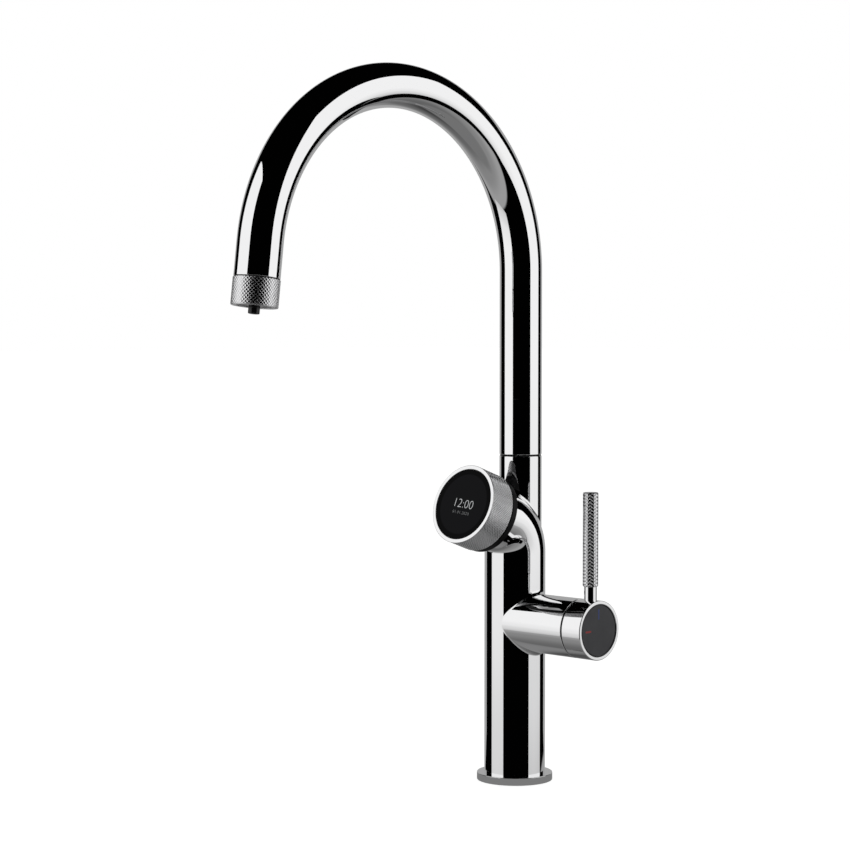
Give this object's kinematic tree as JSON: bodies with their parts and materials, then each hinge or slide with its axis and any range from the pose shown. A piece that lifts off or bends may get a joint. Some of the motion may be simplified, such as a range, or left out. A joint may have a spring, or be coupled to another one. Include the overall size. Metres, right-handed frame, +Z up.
{
  "type": "kitchen mixer tap",
  "caption": "Tall deck-mounted kitchen mixer tap: swivel arch spout with knurled outlet, side stick lever on a horizontal valve arm, and a push-and-turn knurled dial with a round display.",
  "frame": {"origin": "centre of the base's underside, on the worktop", "axes": "+Z up along the column, -Y forwards along the spout's reach towards the user, +X to the user's right, where the lever is"},
  "size_m": [0.1002, 0.2658, 0.4656],
  "materials": {
    "chrome": "polished",
    "knurled_chrome": "diamond knurled",
    "brass": "machined",
    "steel": "bright",
    "rubber": "matt",
    "line_plastic": "translucent white",
    "black_plastic": "satin black",
    "cartridge_plastic": "moulded",
    "ceramic": "lapped alumina",
    "charcoal": "satin charcoal",
    "circuit": "solder mask",
    "display": "display panel",
    "black_glass": "black-backed cover glass",
    "magnet": "bonded ferrite"
  },
  "bodies": {
    "tap_body": {"base_flange": "chrome", "base_seal": "rubber", "inlet_block": "brass", "cable_grommet": "rubber", "hot_feed_tube": "brass", "cold_feed_tube": "brass", "mixed_water_tube": "brass", "body_casting": "chrome", "filtered_line_lower": "line_plastic", "filtered_line_union": "brass", "swivel_seat": "brass", "swivel_glide_ring": "black_plastic", "swivel_stop_screw": "steel", "cartridge_base": "cartridge_plastic", "cartridge_seals": "rubber", "cartridge_housing": "cartridge_plastic", "fixed_ceramic_disc": "ceramic", "cartridge_nut": "brass", "handle_glide_ring": "black_plastic", "dial_base": "black_plastic", "encoder_board": "circuit", "push_switches": "black_plastic"},
    "spout": {"spout_spigot": "brass", "spout_o_rings": "rubber", "spout_tube": "chrome", "outlet_adapter": "brass", "aerator_collar": "knurled_chrome", "aerator_seal": "rubber", "aerator_insert": "black_plastic", "filter_nozzle": "black_plastic", "filtered_line_upper": "line_plastic"},
    "lever": {"moving_ceramic_disc": "ceramic", "cartridge_spindle": "brass", "handle_sleeve": "chrome", "handle_grub_screw": "steel", "indicator_disc": "charcoal", "lever_stem": "chrome", "lever_grip": "knurled_chrome"},
    "dial_core": {"switch_plungers": "cartridge_plastic", "display_carrier": "black_plastic", "circuit_board": "circuit", "display_panel": "display", "display_glass": "black_glass", "stem_clip": "steel"},
    "dial_ring": {"dial_sleeve": "knurled_chrome", "dial_bezel": "chrome", "dial_bush": "cartridge_plastic", "encoder_magnet": "magnet"}
  },
  "joints": [
    {"name": "spout_swivel", "type": "hinge", "parent": "tap_body", "child": "spout", "pos_m": [0, 0.0053, 0.2156], "axis": [0, 0, 1], "range_deg": [-75, 75]},
    {"name": "lever_turn", "type": "hinge", "parent": "tap_body", "child": "lever", "pos_m": [0, 0, 0.106], "axis": [1, 0, 0], "range_deg": [0, 90]},
    {"name": "dial_push", "type": "slide", "parent": "tap_body", "child": "dial_core", "axis": [0, 0.9426, -0.3338], "range_m": [0, 0.0008], "stiffness_N_per_m": 2500, "springref_m": -0.0012},
    {"name": "dial_turn", "type": "hinge", "parent": "dial_core", "child": "dial_ring", "pos_m": [0, -0.02608, 0.17799], "axis": [0, -0.9426, 0.3338], "continuous": true}
  ]
}
